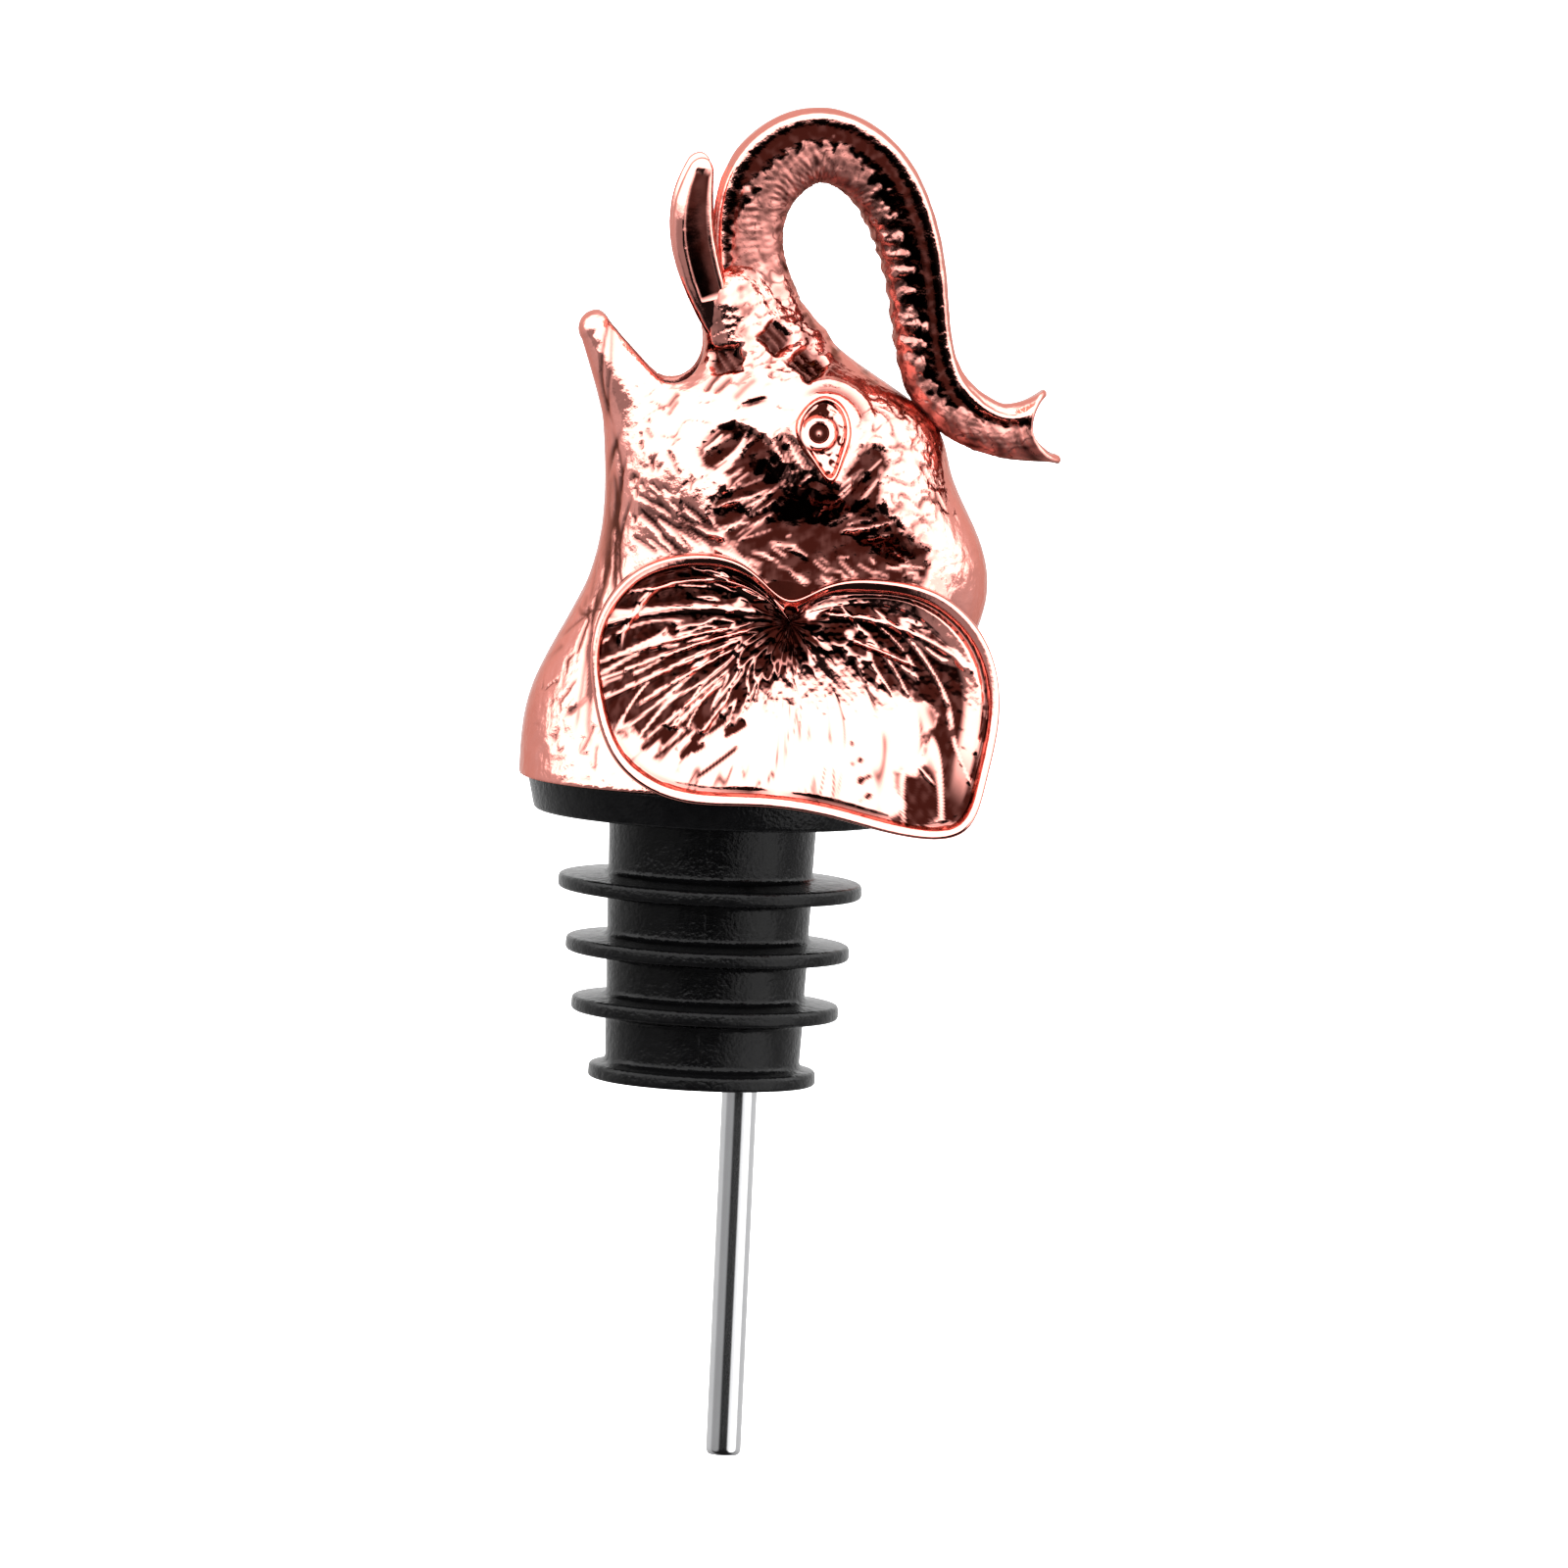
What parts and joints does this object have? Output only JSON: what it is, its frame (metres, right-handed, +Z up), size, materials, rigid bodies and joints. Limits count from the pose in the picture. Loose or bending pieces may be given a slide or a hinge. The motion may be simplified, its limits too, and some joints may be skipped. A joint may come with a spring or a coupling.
{
  "type": "liquor pour spout",
  "caption": "Bottle pour spout: a finned rubber stopper carries a hollow cast elephant head that pours from its open mouth, with a steel air tube below.",
  "frame": {"origin": "centre of the flange's underside, where the bottle's lip bears, on the stopper's axis", "axes": "+Z up the stopper's axis out of the bottle, -X towards the mouth that pours, +X towards the forehead, -Y towards the head's left ear"},
  "size_m": [0.0449, 0.0476, 0.1154],
  "materials": {
    "plated_head": "mirror-bright rose-gold plating over a zinc casting",
    "plated_trim": "mirror-bright rose-gold plating over a zinc casting",
    "tube_steel": "polished stainless steel tube",
    "seal_rubber": "milky silicone rubber",
    "holder_plastic": "white food-grade plastic",
    "stopper_rubber": "smooth satin black rubber"
  },
  "bodies": {
    "stopper_base": {"stopper": "stopper_rubber"},
    "spout": {"head_casting": "plated_head", "left_tusk": "plated_trim", "right_tusk": "plated_trim", "left_ear": "plated_trim", "right_ear": "plated_trim", "stem": "tube_steel", "stem_seal": "seal_rubber", "tube_holder": "holder_plastic", "air_tube": "tube_steel"}
  },
  "joints": [
    {"name": "spout_pull", "type": "slide", "parent": "stopper_base", "child": "spout", "axis": [0, 0, 1], "range_m": [0, 0.06]}
  ]
}
